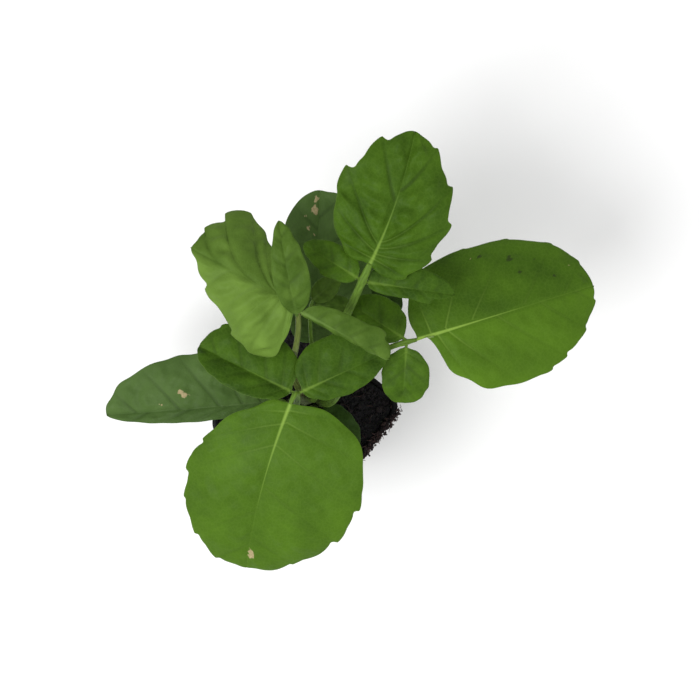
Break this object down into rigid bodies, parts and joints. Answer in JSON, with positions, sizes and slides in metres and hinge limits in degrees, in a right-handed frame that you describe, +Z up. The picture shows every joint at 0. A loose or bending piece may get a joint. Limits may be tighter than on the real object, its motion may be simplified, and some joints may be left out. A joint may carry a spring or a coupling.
{
  "type": "potted valerian plant",
  "caption": "Young valerian herb: a rosette of toothed leaves on slender stalks, growing from soil in a small square black nursery pot.",
  "frame": {"origin": "centre of the pot's underside, on the surface that it stands on", "axes": "+Z up; +Y to the back; the pot's corners point nearly along X and Y, turned 6.5 degrees; the largest leaf reaches towards -Y"},
  "size_m": [0.226, 0.1873, 0.1755],
  "materials": {
    "pot_plastic": "satin",
    "potting_soil": "matte",
    "rootstock": "matte",
    "petiole": "satin",
    "green_leaf": "satin",
    "young_leaf": "satin",
    "old_leaf": "satin"
  },
  "bodies": {
    "root": {"back_leaf_end_blade": "green_leaf", "back_leaf_left_leaflet": "green_leaf", "back_leaf_petiole": "petiole", "back_leaf_right_leaflet": "green_leaf", "front_leaf_end_blade": "green_leaf", "front_leaf_left_leaflet": "green_leaf", "front_leaf_petiole": "petiole", "front_leaf_right_leaflet": "green_leaf", "hidden_leaf_blade": "old_leaf", "hidden_leaf_petiole": "petiole", "left_leaf_blade": "old_leaf", "left_leaf_petiole": "petiole", "low_leaf_blade": "old_leaf", "low_leaf_petiole": "petiole", "new_leaf_end_blade": "young_leaf", "new_leaf_petiole": "petiole", "new_leaf_side_leaflet": "young_leaf", "pot": "pot_plastic", "potting_soil": "potting_soil", "rear_leaf_blade": "old_leaf", "rear_leaf_petiole": "petiole", "right_leaf_back_leaflet": "green_leaf", "right_leaf_end_blade": "green_leaf", "right_leaf_front_leaflet": "green_leaf", "right_leaf_petiole": "petiole", "rootstock": "rootstock", "young_leaf_end_blade": "young_leaf", "young_leaf_left_leaflet": "young_leaf", "young_leaf_petiole": "petiole", "young_leaf_right_leaflet": "young_leaf"}
  },
  "joints": []
}
